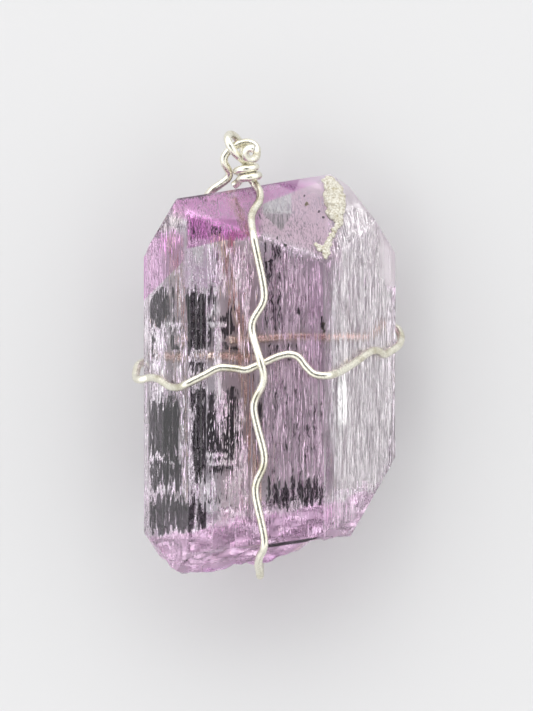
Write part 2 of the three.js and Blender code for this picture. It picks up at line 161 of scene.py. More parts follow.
# Haze of small ones, in rectangles: below the roof's faces, in the pale window, in thin bands
# across the dark windows and, last, thinly spread in them.
HAZE = [
    (2, 12.8, 2.6, 2.4, 0.8, 3400), (4, 11, 0.9, 2, 0.6, 600), (0.2, 11.6, 1.2, 0.9, 0.6, 300),
    (1.2, 10.2, 0.9, 0.45, 0.6, 220), (2.5, 9.9, 0.7, 0.6, 0.6, 230), (-3.6, 13.2, 3, 1.5, 0.8, 2000),
    (-6.7, 13, 0.9, 1.1, 0.6, 600), (-4.6, 11.4, 1.9, 0.8, 0.6, 900), (-1.9, 11.2, 1, 0.7, 0.6, 400),
    (-5.85, 8.4, 0.85, 1.6, 0.5, 900), (-6.6, 3.85, 3.2, 0.14, 0.6, 260),
    (-7.2, 2.9, 2.2, 0.5, 0.8, 160), (-6.2, -7.1, 3.5, 0.14, 0.6, 320),
    (-4.8, -6.5, 1.4, 0.1, 0.5, 110), (-8, -5.9, 1.6, 0.08, 0.5, 60), (-8.9, 5.3, 0.8, 1.8, 0.6, 70),
    (-6, 4.3, 1.2, 2.6, 0.8, 150), (-8.4, -4.4, 1.3, 2.3, 0.6, 150), (-4.3, -4.6, 1.8, 3, 0.8, 150),
    (-7.8, -11.2, 1.9, 1.2, 0.6, 90), (-4.1, -11.3, 1.8, 1.2, 0.8, 90),
]

# Needles and haze: (cover of glass, added length, added width, spread of their tilts).
NEEDLES = (0.14, 0.9, 0.05, 0.1)
HAZE_NEEDLES = (0.07, 0.2, 0.015, 0.07)
SHORTEST, THINNEST = 0.12, 0.02
NEEDLE_DEPTHS = (0.1, 0.4)  # thickness for each mm of width
SLOPE_DEPTH = 0.12  # the same below the sloping faces
FLAT_FACING = 0.9
SHEEN_TILT = 0.2
RIGHT_SLOPE_X, MIDDLE_X = 4.6, -0.8
RIGHT_SCALE, MIDDLE_SCALE, STREAK_SCALE = (0.7, 1.8), (0.8, 1.7), (3, 1.5)  # width, length
LONG_BELOW_Y = 8
LEFT_SLOPE_X = -6.7
RIDGE_Y, BAND_Y = 10.1, -11.6
WINDOW_CHANCES = (0.05, 1.3)
WIRE_CHANCES = (0.2, 1.2)

# Dark specks and stains in the glass just below its front: (x, y, half width, half height, colour).
BLACK, PLUM = (0.01, 0.01, 0.01), (0.02, 0.01, 0.02)
SPECKS = [
    (2.92, 13.5, 0.22, 0.14, (0.10, 0.08, 0.02)), (2.76, 14.2, 0.08, 0.1, PLUM),
    (3.92, 12.88, 0.1, 0.12, PLUM), (4.24, 12.4, 0.08, 0.1, PLUM),
    (0.58, 10.72, 0.09, 0.18, BLACK), (1.24, 10.16, 0.14, 0.12, BLACK),
    (0.02, 8.9, 0.16, 0.16, BLACK), (-3.1, 10.5, 0.22, 0.75, (0.50, 0.16, 0.22)),
    (-2.5, 11, 0.9, 0.4, (0.55, 0.18, 0.42)), (4.22, 3.65, 0.14, 0.45, (0.05, 0.05, 0.02)),
]

# Crust lumps: (x, y, radius).
CRUST_LUMPS = [
    (4.75, 15.2, 0.6), (5.15, 14.6, 0.85), (4.95, 13.9, 0.85), (5.3, 13.5, 0.88), (5.25, 12.8, 0.72),
    (5.42, 12.2, 0.42), (5.36, 11.75, 0.26), (5.12, 11.4, 0.24), (4.92, 11, 0.26), (4.72, 10.65, 0.24),
    (4.62, 10.3, 0.3), (4.42, 9.9, 0.36), (3.95, 9.95, 0.3), (3.68, 10.15, 0.2), (4.45, 9.5, 0.34),
    (4.4, 9.15, 0.18),
]
CRUST_STRETCH = 1.25
CRUST_FLATNESS = 0.6
CRUST_ROUGHNESS = 0.5
CRUST_GRAIN = 0.5
CRUST_SHIFT = 7
CRUST_RELIEF = 0.06
BROAD_GRAINS, FINE_GRAINS = 1.7, 9  # for each mm
CRUST_FACETS = 0.16
CRUST_VOXEL = 0.055
PIT_CLEARANCE = 0.05

# Wires.
WIRE_RADIUS = 0.32
WIRE_SIDES = 20
WIRE_CLEARANCE = 0.06
WIRE_DENTS = 0.035
DENT_LENGTH = 1.1
WIRE_BEVEL = ((0.93, 0.12), (0.72, 0.2))  # radius and reach, for each radius of the wire
ROUTE_STEP = 0.12
EDGE_EASE = 2
KINK_REACH = 0.4
KINK_SHARE = 0.4
CROSSING_Y = 0.72
CROSSING_LIFT = 0.72
CROSSING_REACH = 2.8
RING_AND_BACK = [
    (-1.29, 17.84, 9.8), (-1.64, 17.88, 9.7), (-1.92, 17.67, 9.55), (-1.96, 17.32, 9.35),
    (-1.75, 17.04, 9.1), (-1.4, 17.02, 8.85), (-1.12, 17.22, 8.55), (-1.05, 17.56, 8.25),
    (-1.08, 17.9, 8.05), (-1.28, 18.22, 8), (-1.68, 18.4, 8), (-2.16, 18.38, 8), (-2.72, 18.176, 8),
    (-3.24, 17.8, 8), (-3.632, 17.28, 8), (-3.664, 16.84, 7.9), (-3.44, 16.4, 7.7), (-3.24, 16, 7.4),
    (-3.4, 15.55, 7.2), (-3.95, 15.1, 7.25), (-4.65, 14.6, 7.3), (-5.05, 14.1, 6.7), (-5.1, 13.4, 5.2),
    (-5, 12.8, 3.5), (-4.6, 12.3, 1.6), (-4.3, 11.8, 0.6), (-4.1, 11.2, 0.33), (-3.7, 9.6, 0.75),
    (-3.1, 7.2, 1.02), (-2.6, 4.6, 1.02), (-2.2, 2.4, 1.02), (-2.2, 0.6, 1.02), (-1.7, -2, 1.02),
    (-1.8, -4.6, 1), (-1.2, -7, 0.95), (-1.1, -9.2, 0.6), (-1, -10.6, 0.33), (-0.95, -11.6, 0.95),
    (-0.9, -12.3, 2.3), (-0.9, -13.1, 4.05), (-0.85, -14, 5.6), (-0.8, -14.85, 7.05),
    (-0.8, -15.55, 8.5), (-0.8, -15.98, 9.3), (-0.8, -16.1, 9.85), (-0.81, -16, 10.25),
]
FRONT_KINKS = [
    (-0.83, -15.7), (-1, -14.9), (-0.36, -13.6), (-1.24, -9.04), (-0.37, -7), (-1.37, -2.5),
    (-0.41, -0.5), (-1.53, 3.84), (-0.38, 5.86), (-1.56, 12.46), (-0.66, 14.06), (-1.04, 14.85),
]
NECK_AND_RING = [
    (-1.28, 15.18, 7.98), (-1.52, 15.47, 8.03), (-1.78, 16, 8.1), (-1.93, 16.5, 8.12), (-2, 16.85, 8.4),
    (-2.28, 17.1, 8.65), (-2.6, 17.35, 8.98), (-2.92, 17.68, 9.22), (-3.24, 18.2, 9.3),
    (-3.38, 18.68, 9), (-3.27, 19, 8.4), (-2.96, 19, 7.75), (-2.6, 18.68, 7.25), (-2.28, 18.16, 6.95),
    (-2.04, 17.55, 6.9), (-1.85, 17.05, 6.98), (-1.62, 16.72, 7.2),
]
WRAP_ANGLES = range(-45, 541, 45)
WRAP_TOP = (-1.9, 16.28, 8.1)
WRAP_PER_TURN = (0.23, -0.68)
WRAP_HALF_WIDTH = 0.8
WRAP_HALF_DEPTH = 0.74
TAIL = [(-2.5, 15.3, 7.8), (-2.68, 15.14, 7.6), (-2.86, 15, 7.5)]
WAIST_LEFT = [
    (-1.3, 1.3, 0.8), (-1.75, 1.3, 0.45), (-2.2, 1.3, 0.33), (-2.7, 1.31, 0.4), (-3.4, 1.35, 0.62),
    (-4.4, 1.4, 0.55), (-5.2, 1.43, 0.33), (-5.9, 1.42, 0.55), (-6.7, 1.38, 1.4), (-8.5, 1.15, 4.3),
    (-10, 0.9, 5.7), (-10.52, 0.65, 6.3), (-10.7, 0.15, 6.9), (-10.68, -0.4, 7.6), (-10.28, -0.53, 8.3),
]
WAIST_FRONT = [
    (-9.65, -0.37), (-9.25, -0.36), (-8.72, -0.56), (-7.94, -1.04), (-7.26, -1.12), (-6.34, -0.72),
    (-5.12, -0.11), (-4.04, 0.42), (-2.82, 0.38), (-1.9, 0.26), (-1.28, 0.5), (-0.22, 0.96),
    (0.7, 1.34), (1.62, 1.5), (2.24, 1.26), (2.85, 0.5), (3.46, -0.04), (4.22, -0.19), (5.14, -0.04),
    (6.06, 0.42), (7.12, 1.12), (8.05, 1.72), (8.58, 1.8), (9.12, 1.5), (9.74, 1.8),
]
WAIST_RIGHT = [
    (10.34, 2.25, 4.95), (10.55, 2.85, 4.1), (10.3, 3.5, 3.4), (9.6, 3.9, 2.8), (8.7, 4.15, 1.3),
    (8.1, 4.22, 0.55), (7.5, 4.2, 0.33), (6.8, 4, 0.55), (6.1, 3.35, 1), (5.1, 2.9, 1.02),
    (2.7, 2.95, 1.02), (1.1, 2.9, 1), (-0.6, 2.78, 0.75), (-1.6, 2.72, 0.4), (-2.2, 2.7, 0.33),
    (-2.7, 2.68, 0.45), (-3.1, 2.65, 0.8),
]

# Zones of the glass. Each edge is (per x, per y, start, end): the zone starts where
# per_x x + per_y y passes start, and is full from end on.
ZONES = {
    "right slope": [(1, 0, 4.5, 6)],
    "middle": [(1, 0, -0.8, 0.2), (1, 0, 4.6, 4.3)],
    "column": [(1, 0, -4.5, -3.5), (1, 0, -0.3, -1.3)],
    "lilac band": [(1, 0, 2.6, 3.2), (1, 0, 4.5, 4.2), (0, 1, -2, 1)],
    "left roof": [(1, 0, -0.4, -1.2)],
    "roof strip": [(-0.4, 1, 13.6, 13.9)],
    "pane": [(1, 0, -0.66, -0.46), (1, 0, 1.8, 1.6), (0, 1, 12.6, 12.7), (-0.4, 1, 13.75, 13.6)],
    "wedge": [(1, 1.04, 12.5, 12.7), (0, 1, 12.7, 12.6), (1, -0.6, -5.75, -5.95), (0, 1, 11, 11.3)],
    "peak": [(0.4, 1, 15.2, 15.4), (1, 0, -0.5, 0.3), (1, -0.44, -4.35, -4.55)],
    "purple": [(0.05, 1, 12.2, 11.9), (-0.22, 1, 11.2, 11.4), (1, 0, -6.7, -6.5), (1, 0, -0.8, -2.4)],
    "chamfer": [(1, 0, -6.7, -6.95), (-CHAMFER_SLOPE, 1, 15.3, 15.5)],
    "base middle": [(1, 0, -0.9, -0.5), (1, 0, 4.6, 4.3)],
    "ledge_shadow": [(1, 0, -0.7, -0.3), (1, 0, 4.2, 3.6)],
    "bent streaks": [(1, 0, -1.3, -0.5), (1, 0, 5, 4.2)],
    "inner tubes": [(1, 0, -1, -0.6), (1, 0, 4.8, 4.4)],
    "right tubes": [(1, 0, 4.6, 5)],
    "shoulder": [(1, 0, -6.6, -7), (0, 1, 11, 11.6)],
    "white streak": [(1, 0, 5.1, 5.3), (1, 0, 6.15, 5.95), (0, 1, -4.2, -4), (0, 1, -0.4, -0.6)],
    "roof": [(RIDGE_SLOPE, 1, 10.2, 10.9), (1, 0, 4.8, 4.4)],
    "pale window": [(1, 0, -6.9, -6.7), (1, 0, -4.8, -5), (0, 1, 6.5, 6.7), (0, 1, 10.2, 10)],
}
# Where the glass changes: in height, at the ridge and at the base.
NEAR_FRONT = (4, 7)
WAVER_CELL, WAVER = 1.3, (-0.35, 0.35)
CLEAR_UNDER = (9.8, 10.5)
RIDGE_RIGHT, RIDGE_STEP = 10.8, -0.65
CHAMFER_FADE = (10.6, 11.8)
BAND_TOP = (-11.35, -10.95)
LIP_TOP = (-15, -14.2)
# The painted shadow line above the broken base: its slope, its y, its half widths and the heights it
# starts at.
LEDGE_SLOPE, LEDGE_Y, LEDGE_RIM, LEDGE_HEIGHT = -0.15, 13.66, (0.1, 0.2), (10.8, 11.2)
STREAK_RISE = (0.30, 0.62)
STREAK_RIM = (-0.03, 0.02)
FINE_STREAKS, COARSE_STREAKS = (0.09, 0.9, 4), (0.28, 3, 4)

# The dark 'streaks' and the dark line just above the broken base are painted shade; the salmon for the
# wires behind the crystal is those wires, as seen through it, painted onto the glass.
GLASS = {
    "clear": (0.98, 0.96, 1), "clear right": (1, 0.97, 0.985), "middle": (1, 0.93, 0.97),
    "column": (1, 0.89, 0.93), "lilac band": (0.98, 0.83, 0.955), "roof": (0.97, 0.80, 0.92),
    "roof strip": (0.98, 0.58, 0.92), "roof right": (1, 0.97, 0.98), "pane": (0.86, 0.89, 0.90),
    "pane lines": (1, 1, 1), "wedge": (0.30, 0.29, 0.30), "wedge lines": (0.98, 0.92, 0.96),
    "peak": (0.66, 0.26, 0.62), "purple": (0.64, 0.28, 0.58), "chamfer": (0.98, 0.50, 0.92),
    "base": (1, 0.68, 0.94), "base right": (1, 0.80, 0.96), "base middle": (1, 0.70, 0.96),
    "lip": (0.98, 0.52, 1), "ledge_shadow": (0.005, 0.003, 0.005), "painted wires behind": (1, 0.66, 0.58),
    "streaks": (0.015, 0.013, 0.016), "depth": (0.885, 0.705, 0.868),
}
GROWTH_TUBES = {
    "lilac": (0.93, 0.80, 0.92), "pale": (0.97, 0.95, 0.96), "inner tubes": (0.76, 0.63, 0.74),
    "right tubes": (0.95, 0.93, 0.945), "shoulder": (0.86, 0.82, 0.80),
    "white streak": (1, 1, 1), "roof": (1, 0.94, 0.97), "roof strip": (0.95, 0.82, 0.92),
    "pane": (1, 1, 1), "wedge": (0.85, 0.80, 0.84), "peak": (0.6, 0.4, 0.58),
}
SILVER, TARNISH = (0.87, 0.845, 0.73, 1), (0.60, 0.56, 0.43, 1)
# The colour between the crust's grains holds painted shade for its hollows.
CRUST_HOLLOW_SHADE, CRUST_GRAINS, RUST = (0.38, 0.34, 0.25, 1), (0.69, 0.67, 0.60, 1), (0.40, 0.35, 0.22, 1)
FLOOR, FLOOR_REACH = (0.65, 0.65, 0.655, 1), 1500

LIGHT = 1.75
BRIGHT_SIDE = (-0.15, 0.45)
RING_FOOT, RING_TOP = (0.02, 0.30), (0.82, 0.93)


# ---- numbers and noise

def placed(points):
    """Millimetres in the source's coordinates as metres in the row frame."""
    return (np.asarray(points, float) - FOOTPRINT) * MM


def chance(i, j, k):
    """Numbers from 0 to 1 that depend only on three whole numbers."""
    with np.errstate(over="ignore"):
        i, j, k = (np.asarray(v).astype(np.int64).astype(np.uint32) for v in (i, j, k))
        bits = i * np.uint32(374761393) ^ j * np.uint32(668265263) ^ k * np.uint32(974634777)
        bits = (bits ^ (bits >> np.uint32(13))) * np.uint32(1274126177)
        bits ^= bits >> np.uint32(16)
    return bits / 4294967295


def smoothstep(value, low, high):
    t = np.clip((value - low) / (high - low), 0, 1)
    return t * t * (3 - 2 * t)


def plane_noise(u, v, seed):
    """Smooth noise from 0 to 1 over a plane, with one random value per unit square.

    What its callers add to u and v only picks another part of the noise.
    """
    i, j = np.floor(u), np.floor(v)
    s, t = smoothstep(u - i, 0, 1), smoothstep(v - j, 0, 1)
    near = chance(i, j, seed) * (1 - s) + chance(i + 1, j, seed) * s
    far = chance(i, j + 1, seed) * (1 - s) + chance(i + 1, j + 1, seed) * s
    return near * (1 - t) + far * t


def window_share(x, y, windows=WINDOWS):
    """1 in a window of the crystal, 0 among its streaks."""
    jag = plane_noise(x / JAG_CELL[0] + 90, y / JAG_CELL[1] + 40, 5) - 0.5
    sway = plane_noise(x / SWAY_CELL[0] + 40, y / SWAY_CELL[1] + 40, 6) - 0.5
    share = np.zeros(np.broadcast(x, y).shape)
    for middle_x, middle_y, half_width, half_height, strength in windows:
        across = np.abs(x - middle_x + SWAY * sway) / half_width
        along = np.abs(y - middle_y + JAG * jag) / half_height
        inside = 1 - smoothstep(np.maximum(across, along), *WINDOW_RIM)
        share = np.maximum(share, strength * inside)
    return share


def calm_share(x, y):
    """1 in any window, dark or pale."""
    return np.maximum(window_share(x, y), window_share(x, y, PANES))


# ---- planes of the crystal

def side_plane(corner):
    """(normal, constant) of the side that starts at a corner of the cross-section."""
    x0, z0 = SECTION[corner]
    x1, z1 = SECTION[(corner + 1) % len(SECTION)]
    normal = np.array([z1 - z0, 0, x0 - x1])
    normal /= np.linalg.norm(normal)
    return normal, -normal @ np.array([x0, 0, z0 + BACK_Z])


def end_plane(face):
    x, y, height, per_x, per_height, side = face
    normal = np.array([-per_x, 1, -per_height]) * side
    normal /= np.linalg.norm(normal)
    return normal, -normal @ np.array([x, y, height + BACK_Z])


SIDE_PLANES = [side_plane(corner) for corner in range(len(SECTION))]
END_PLANES = [end_plane(face) for face in END_FACES]
FRONT_PLANES = [plane for plane in SIDE_PLANES + END_PLANES if plane[0][2] > FACING_FRONT]


def base_y(x, z):
    """The y of the broken base, without its finest chips."""
    height = z - BACK_Z
    slopes = [y + per_x * x + per_height * height for y, per_x, per_height in BASE_SLOPES]
    grain = plane_noise(x / BASE_GRAIN, z / BASE_GRAIN, 23)
    return np.maximum.reduce(slopes) + grain * BASE_ROUGHNESS - BASE_PROUD


def depth_inside(points):
    """How far points are inside the crystal's flat faces and its base."""
    points = np.asarray(points)
    depths = [-(points @ normal + constant) for normal, constant in SIDE_PLANES + END_PLANES]
    chips = sum(depth for _, depth, _ in BASE_CHIPS)
    depths.append(points[:, 1] - base_y(points[:, 0], points[:, 2]) - chips)
    return np.minimum.reduce(depths)


def front(x, y):
    """The height of the crystal's front, without its grooves, and the direction it faces."""
    heights = np.array([-(c + n[0] * x + n[1] * y) / n[2] for n, c in FRONT_PLANES])
    return heights.min(0), np.array([n for n, _ in FRONT_PLANES])[heights.argmin(0)]


# ---- making meshes

def added(name, data):
    """A new object in the scene."""
    piece = bpy.data.objects.new(name, data)
    SCENE.collection.objects.link(piece)
    return piece


def mesh_piece(name, vertices, faces):
    """An object from points in millimetres, with flat faces."""
    mesh = bpy.data.meshes.new(name)
    mesh.from_pydata(placed(vertices).tolist(), [], [list(map(int, face)) for face in faces])
    mesh.update()
    return added(name, mesh)


def grid_faces(rows, columns, closed=False):
    """Quads of a grid of rows x columns points. A closed one joins its last column to its first."""
    i, j = np.meshgrid(
        np.arange(rows - 1), np.arange(columns if closed else columns - 1), indexing="ij"
    )
    i, j = i.ravel(), j.ravel()
    k = (j + 1) % columns
    return np.stack([i * columns + j, i * columns + k, (i + 1) * columns + k, (i + 1) * columns + j], 1)


def tube_faces(rows, columns):
    """Faces of a closed grid, with a cap at either end."""
    first = list(range(columns))
    last = [(rows - 1) * columns + i for i in first]
    return [*grid_faces(rows, columns, closed=True).tolist(), first[::-1], last]


def relief_block(origin, across, along, out, size, cell, thickness, relief):
    """A block that reaches out from a relief in u and v round origin."""
    u, v = (np.linspace(-length / 2, length / 2, round(length / cell) + 1) for length in size)
    rows, columns = len(v), len(u)
    v, u = (grid.ravel() for grid in np.meshgrid(v, u, indexing="ij"))
    points = origin + u[:, None] * across + v[:, None] * along + relief(u, v)[:, None] * out
    faces = grid_faces(rows, columns)[:, ::-1].tolist()
    index = np.arange(rows * columns).reshape(rows, columns)
    rim = [*index[0, :-1], *index[:-1, -1], *index[-1, :0:-1], *index[:0:-1, 0]]
    far = origin + u[rim, None] * across + v[rim, None] * along + thickness * out
    first = len(points)
    for i, corner in enumerate(rim):
        following = (i + 1) % len(rim)
        faces.append([corner, rim[following], first + following, first + i])
    faces.append([first + i for i in range(len(rim))])
    return np.vstack([points, far]), faces


def cut(piece, cutters):
    """Takes cutters away from a piece, and removes them."""
    for cutter in cutters:
        modifier = piece.modifiers.new(cutter.name, "BOOLEAN")
        modifier.operation = "DIFFERENCE"
        modifier.solver = "MANIFOLD"
        modifier.object = cutter
    applied(piece)
    for cutter in cutters:
        bpy.data.meshes.remove(cutter.data)


def applied(piece):
    """Makes a piece's modifiers part of its mesh."""
    graph = bpy.context.evaluated_depsgraph_get()
    mesh = bpy.data.meshes.new_from_object(piece.evaluated_get(graph), depsgraph=graph)
    piece.modifiers.clear()
    old = piece.data
    piece.data = mesh
    mesh.name = piece.name
    bpy.data.meshes.remove(old)


# ---- crystal

def striation_depth(along, y, layers):
    """How deep layers of growth striations are, at a distance round the section and along it."""
    depth = np.zeros(np.broadcast(along, y).shape)
    for pitch, deepest, length, seed in layers:
        column = np.floor(along / pitch)
        place = y / length + 9 * chance(column, 1, seed)
        step = np.floor(place)
        share = smoothstep(place - step, 0, 1)
        value = chance(step, column, seed) * (1 - share) + chance(step + 1, column, seed) * share
        depth += deepest * smoothstep(value, *GROOVED)
    return depth


def striated_prism():
    """The long prism that the crystal's ends are cut from, with its long edges slightly blunt."""
    places, normals, grooved, along = [], [], [], []
    travelled = 0.0
    for corner, (x0, z0) in enumerate(SECTION):
        x1, z1 = SECTION[(corner + 1) % len(SECTION)]
        length = math.hypot(x1 - x0, z1 - z0)
        columns = max(2, round(length / COLUMN))
        for distance in np.linspace(EDGE_WIDTH / 2, length - EDGE_WIDTH / 2, columns):
            x = x0 + (x1 - x0) * distance / length
            z = z0 + (z1 - z0) * distance / length
            on_land = corner == 0 and SMOOTH_LAND[0] < x < SMOOTH_LAND[1]
            places.append((x, 0, z + BACK_Z))
            normals.append(SIDE_PLANES[corner][0])
            grooved.append(EDGE_WIDTH < distance < length - EDGE_WIDTH and not on_land)
            along.append(travelled + distance)
        travelled += length
    places, normals, along = np.array(places), np.array(normals), np.array(along)[None, :]
    rows = int((BLANK_Y[1] - BLANK_Y[0]) / ROW) + 1
    y = np.linspace(BLANK_Y[1], BLANK_Y[0], rows)[:, None]
    fine = striation_depth(along, y, FINE_STRIATIONS) * (1 - CALMED * calm_share(places[:, 0], y))
    depth = (striation_depth(along, y, BROAD_STRIATIONS) + fine) * np.array(grooved)
    points = places[None] - depth[:, :, None] * normals[None]
    points[:, :, 1] = y
    return mesh_piece("crystal_glass", points.reshape(-1, 3), tube_faces(rows, len(places)))


def end_cutter(number):
    """A block beyond one of the flat end faces, whose near side is faintly rippled."""
    x, y, height, *_ = END_FACES[number]
    normal, _ = END_PLANES[number]
    across = np.cross(normal, [0, 0, 1])
    across /= np.linalg.norm(across)
    along = np.cross(normal, across)

    def ripple(u, v):
        return -END_RIPPLE * plane_noise(u / RIPPLE_CELL[0] + 50, v / RIPPLE_CELL[1] + 50, 60 + number)

    block = relief_block(
        np.array([x, y, height + BACK_Z]), across, along, normal,
        CUTTER_SIZE, END_CELL, CUTTER_DEPTH, ripple,
    )
    return mesh_piece(f"end_cutter_{number}", *block)


def base_cutter():
    """A block below the crystal whose top is the broken base."""
    middle = np.array([0, 0, BACK_Z + BASE_CUTTER_Z])

    def relief(u, v):
        x, z = u, middle[2] + v
        chips = sum(
            depth * np.abs(2 * plane_noise((x + BASE_CHIP_LEAN * z) / cell + 90, z / cell + 90, seed) - 1)
            for cell, depth, seed in BASE_CHIPS
        )
        return -(base_y(x, z) + chips)

    block = relief_block(
        middle, np.array([1, 0, 0]), np.array([0, 0, 1]), np.array([0, -1, 0]),
        BASE_CUTTER_SIZE, BASE_CELL, BASE_CUTTER_DEPTH, relief,
    )
    return mesh_piece("base_cutter", *block)


def crust_lumps(name, extra):
    """The crust's lumps as one mesh, each grown by extra."""
    normal, constant = END_PLANES[0]
    turn = np.array(Vector((0, 0, 1)).rotation_difference(Vector(normal)).to_matrix())
    ball = bmesh.new()
    bmesh.ops.create_icosphere(ball, subdivisions=4, radius=1)
    round_points = np.array([vertex.co for vertex in ball.verts])
    round_faces = np.array([[vertex.index for vertex in face.verts] for face in ball.faces])
    ball.free()
    vertices, faces = [], []
    for lump, (x, y, radius) in enumerate(CRUST_LUMPS):
        across = round_points[:, 0] / CRUST_GRAIN + CRUST_SHIFT
        down = (round_points[:, 1] + round_points[:, 2]) / CRUST_GRAIN + CRUST_SHIFT
        size = radius * (1 + CRUST_ROUGHNESS * (plane_noise(across, down, lump) - 0.5)) + extra
        points = round_points * size[:, None] * np.array([1, CRUST_STRETCH, CRUST_FLATNESS])
        z = -(constant + normal[0] * x + normal[1] * y) / normal[2]
        vertices.append(points @ turn.T + np.array([x, y, z]))
        faces += (round_faces + lump * len(round_points)).tolist()
    return mesh_piece(name, np.vstack(vertices), faces)


def crust_solid(name, extra, rough):
    """The lumps joined in one closed skin, roughened by up to rough and broken into facets."""
    piece = crust_lumps(name, extra)
    modifier = piece.modifiers.new("join", "REMESH")
    modifier.mode = "VOXEL"
    modifier.voxel_size = CRUST_VOXEL * MM
    applied(piece)
    if rough:
        for vertex in piece.data.vertices:
            place = vertex.co / MM
            grain = noise.fractal(place * BROAD_GRAINS, 0.8, 2.1, 4)
            grain += 0.5 * noise.noise(place * FINE_GRAINS)
            vertex.co += vertex.normal * (rough * grain * MM)
        modifier = piece.modifiers.new("facets", "DECIMATE")
        modifier.ratio = CRUST_FACETS
        applied(piece)
        piece.data.shade_flat()
    return piece


def crystal():
    glass = striated_prism()
    cutters = [end_cutter(i) for i in range(len(END_FACES))]
    cut(glass, [*cutters, base_cutter(), crust_solid("pit_cutter", PIT_CLEARANCE, 0)])
    glass.data.shade_flat()
    shade_windows(glass.data)
    return glass


def beside_back_wires(x, y):
    """1 in front of the wires behind the crystal, 0 away from them."""
    share = np.zeros(x.shape)
    for route in (RING_AND_BACK, WAIST_LEFT, WAIST_RIGHT):
        line = smooth_line([point for point in route if point[2] < BACK_Z], HALO_STEP)
        for point_x, point_y, _ in line:
            distance = np.hypot(x - point_x, y - point_y)
            share = np.maximum(share, 1 - smoothstep(distance, *WIRE_HALO))
    return share


def shade_windows(mesh):
    """Writes the attributes shade, the cover of painted shade streaks; warm, the wires behind painted on;
    and broken.
    """
    points = np.empty(len(mesh.vertices) * 3)
    mesh.vertices.foreach_get("co", points)
    points = points.reshape(-1, 3) / MM + FOOTPRINT
    x, y, z = points.T
    past_wire = x > BEHIND[1]
    broad = plane_noise(x / SHADE_CELL[0] + 60, y / SHADE_CELL[1] + 60, 8)
    usual = np.where(past_wire, USUAL_SHADE[1], USUAL_SHADE[0])
    shade = np.maximum(window_share(x, y), usual * smoothstep(broad, 0.2, 0.8))
    in_front = smoothstep(z, *FRONT_RISE)
    behind = 1 - smoothstep(z, *BACK_FALL)
    shade *= np.where((x < BEHIND[0]) | past_wire, in_front, behind)
    wires = beside_back_wires(x, y)
    wires_seen = np.where(in_front > 0.5, over_back_wires(points, *front(x, y)), wires)
    shade *= (1 - HALO_STRENGTH * wires_seen) * (1 - window_share(x, y, PANES))
    shade *= 1 - smoothstep(y + RIDGE_SLOPE * x - past_wire, *RIDGE_EDGE)
    shade *= smoothstep(y - BAND_SLOPE * x, *BAND_EDGE)
    shade *= 1 - SLOPE_LOSS * smoothstep(x, *SLOPE_EDGE)
    under_chamfer = 1 - smoothstep(y - CHAMFER_SLOPE * x, *CHAMFER_EDGE)
    shade *= np.where(x < CHAMFER_X, under_chamfer, 1)
    broken = 1 - smoothstep(y - base_y(x, z), *BROKEN_REACH)
    shade *= 1 - broken
    for name, values in (("shade", shade), ("warm", wires * behind), ("broken", broken)):
        mesh.attributes.new(name, "FLOAT", "POINT").data.foreach_set("value", values)


# ---- inclusions

def spindles(name, places, halves, axes):
    """Eight-sided grains round places, given half their size along each of their axes."""
    corners = np.array([(1, 0, 0), (-1, 0, 0), (0, 1, 0), (0, -1, 0), (0, 0, 1), (0, 0, -1)])
    offsets = np.einsum("kj,nj,njx->nkx", corners, halves, axes)
    sides = np.array([
        (2, 0, 4), (0, 3, 4), (3, 1, 4), (1, 2, 4), (0, 2, 5), (3, 0, 5), (1, 3, 5), (2, 1, 5),
    ])
    faces = sides[None] + 6 * np.arange(len(places))[:, None, None]
    return mesh_piece(name, (places[:, None] + offsets).reshape(-1, 3), faces.reshape(-1, 3))


def bent_line(facing):
    """Which way a line of sight from above runs in the glass, turned back towards the viewer."""
    slant = facing[:, 2:]
    bend = np.sqrt(1 - (1 - slant ** 2) / IOR ** 2) - slant / IOR
    return facing * bend + np.array([0, 0, 1 / IOR])


def over_back_wires(place, height, facing):
    """1 where the front, seen from above, shows a wire behind the crystal, and 0 away from them."""
    line = bent_line(facing)
    seen = place - line * ((height - BACK_Z) / line[:, 2])[:, None]
    return beside_back_wires(seen[:, 0], seen[:, 1])


def needle_axes(facing, tilts):
    """Axes of flat needles along the crystal that lie across the light bent in from above."""
    sideways = facing * (1, 1, 0)
    deep = bent_line(facing) + SHEEN_TILT * sideways + tilts
    deep /= np.linalg.norm(deep, axis=1)[:, None]
    across = np.cross([0, 1, 0], deep)
    across /= np.linalg.norm(across, axis=1)[:, None]
    return np.stack([across, np.cross(deep, across), deep], 1)


def scattered(chances, rectangle, x, y, half_width, half_height, tries):
    """Random places, at height 0, in a rectangle or in the ellipse that fits it."""
    angle, out = chances.uniform(0, 2 * np.pi, tries), np.sqrt(chances.uniform(0, 1, tries))
    place = np.stack([out * np.cos(angle), out * np.sin(angle), np.zeros(tries)], 1)
    if rectangle:
        place[:, :2] = chances.uniform(-1, 1, (tries, 2))
    return place * (half_width, half_height, 0) + (x, y, 0)


def needle_scales(place):
    """How much wider and longer the needles are: finer on the right, and longer below the roof."""
    on_right = place[:, 0] > RIGHT_SLOPE_X
    low = place[:, 1] < LONG_BELOW_Y
    in_middle = (place[:, 0] > MIDDLE_X) & ~on_right & low
    widths = np.select([on_right, in_middle], [RIGHT_SCALE[0], MIDDLE_SCALE[0]], 1)
    lengths = np.select([on_right & low, in_middle], [RIGHT_SCALE[1], MIDDLE_SCALE[1]], 1)
    return widths, lengths


